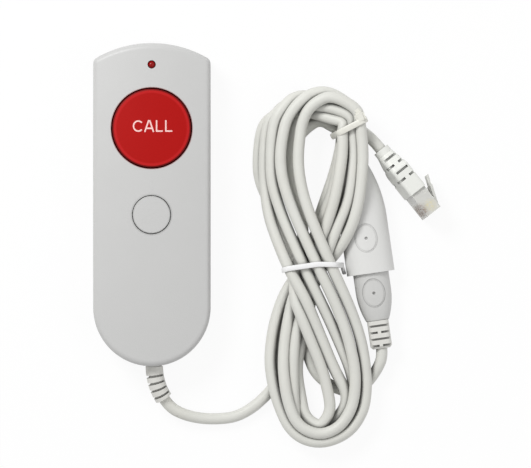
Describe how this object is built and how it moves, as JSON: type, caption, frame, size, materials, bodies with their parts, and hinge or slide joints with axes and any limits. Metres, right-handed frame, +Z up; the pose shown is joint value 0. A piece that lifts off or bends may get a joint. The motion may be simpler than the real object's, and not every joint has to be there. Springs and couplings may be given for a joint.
{
  "type": "nurse call cord",
  "caption": "Wired bedside call handset with a large round call button, a small round button and a lamp, on a tied coiled lead with a breakaway connector and a modular plug.",
  "frame": {"origin": "under the middle of the handset, on the surface that it lies on", "axes": "+X across the handset towards the coiled lead, +Y along the handset to its lamp end, +Z up out of its face"},
  "size_m": [0.1388, 0.1635, 0.0202],
  "materials": {
    "case_plastic": "fine satin grain, light neutral grey",
    "screw_steel": "plated",
    "board_laminate": "green board lacquer",
    "red_button": "satin gloss deep red",
    "spring_steel": "drawn wire",
    "switch_plastic": "moulded black",
    "lamp_lens": "clear dark red resin",
    "connector_plastic": "satin off-white",
    "core_insulation": "thin coloured insulation",
    "relief_rubber": "light grey soft moulding",
    "cord_jacket": "smooth off-white jacket",
    "clear_nylon": "translucent natural nylon",
    "white_tie": "thin white paper and wire",
    "gold_contact": "thin gold plating",
    "boot_plastic": "soft off-white",
    "clear_plug": "clear polycarbonate"
  },
  "bodies": {
    "handset": {"front_shell": "case_plastic", "back_shell": "case_plastic", "case_screws": "screw_steel", "circuit_board": "board_laminate", "call_button_spring": "spring_steel", "call_switch_body": "switch_plastic", "lower_switch_body": "switch_plastic", "indicator_lamp": "lamp_lens", "lamp_leads": "screw_steel", "cable_header": "connector_plastic", "core_wires": "core_insulation", "cord_clamp": "switch_plastic", "clamp_screws": "screw_steel", "handset_relief": "relief_rubber", "handset_cord_end": "cord_jacket", "handset_cord_tail": "cord_jacket", "cord_hank": "cord_jacket", "top_tie": "clear_nylon", "middle_tie": "white_tie", "breakaway_socket_shell": "connector_plastic", "breakaway_socket_insert": "switch_plastic", "breakaway_contacts": "gold_contact", "breakaway_socket_relief": "connector_plastic", "breakaway_socket_cord_end": "cord_jacket", "breakaway_plug_shell": "connector_plastic", "breakaway_plug_insert": "switch_plastic", "breakaway_pins": "gold_contact", "breakaway_plug_relief": "connector_plastic", "breakaway_plug_cord_end": "cord_jacket", "connector_cord_tail": "cord_jacket", "modular_cord_tail": "cord_jacket", "modular_plug_boot": "boot_plastic", "modular_cord_end": "cord_jacket", "modular_plug_body": "clear_plug", "modular_plug_contacts": "gold_contact", "modular_plug_wires": "core_insulation"},
    "call_button": {"call_button_cap": "red_button", "call_switch_plunger": "switch_plastic"},
    "lower_button": {"lower_button_cap": "case_plastic", "lower_switch_plunger": "switch_plastic"}
  },
  "joints": [
    {"name": "call_button_press", "type": "slide", "parent": "handset", "child": "call_button", "axis": [0, 0, -1], "range_m": [0, 0.0012], "stiffness_N_per_m": 1200, "springref_m": -0.0005, "deforming": ["call_button_spring"]},
    {"name": "lower_button_press", "type": "slide", "parent": "handset", "child": "lower_button", "axis": [0, 0, -1], "range_m": [0, 0.0008], "stiffness_N_per_m": 900, "springref_m": -0.0005}
  ]
}
